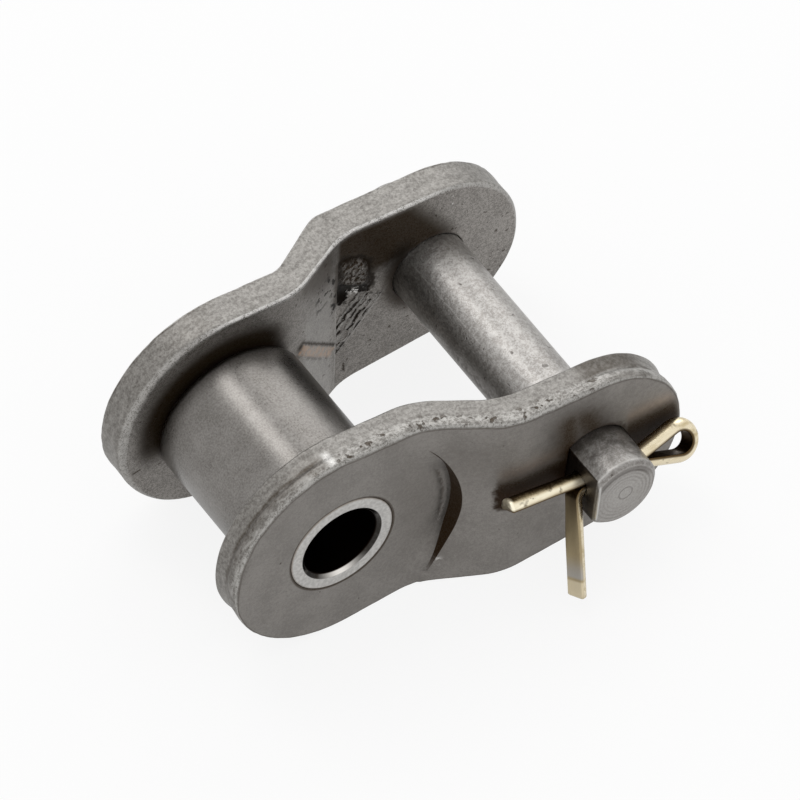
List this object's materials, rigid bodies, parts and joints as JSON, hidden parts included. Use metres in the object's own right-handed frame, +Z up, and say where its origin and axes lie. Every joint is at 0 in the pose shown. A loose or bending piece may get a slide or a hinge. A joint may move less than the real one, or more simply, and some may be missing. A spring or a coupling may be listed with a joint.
{
  "type": "offset link",
  "caption": "Cranked half link of a roller chain: plates joined by a pressed bush with a free roller at the narrow end and a slip-fit pin with a split cotter at the wide end.",
  "frame": {"origin": "on the bush axis, midway between the plates", "axes": "+Y along the bush and pin axes towards the far plate, +X from the bush to the pin, +Z up across the plates"},
  "size_m": [0.0477, 0.0445, 0.0238],
  "materials": {
    "plate_steel": "matte heat-treated grey with a fine tumbled grain and worn edges",
    "bush_steel": "bright ground end faces",
    "roller_steel": "satin grey",
    "pin_steel": "satin grey with a fine grain",
    "cotter_wire": "yellow zinc-plated steel wire"
  },
  "bodies": {
    "link": {"near_plate": "plate_steel", "far_plate": "plate_steel", "bush": "bush_steel", "pin": "pin_steel", "cotter": "cotter_wire"},
    "roller": {"roller": "roller_steel"}
  },
  "joints": [
    {"name": "roller_spin", "type": "hinge", "parent": "link", "child": "roller", "pos_m": [0, 0, 0], "axis": [0, 1, 0], "continuous": true}
  ]
}
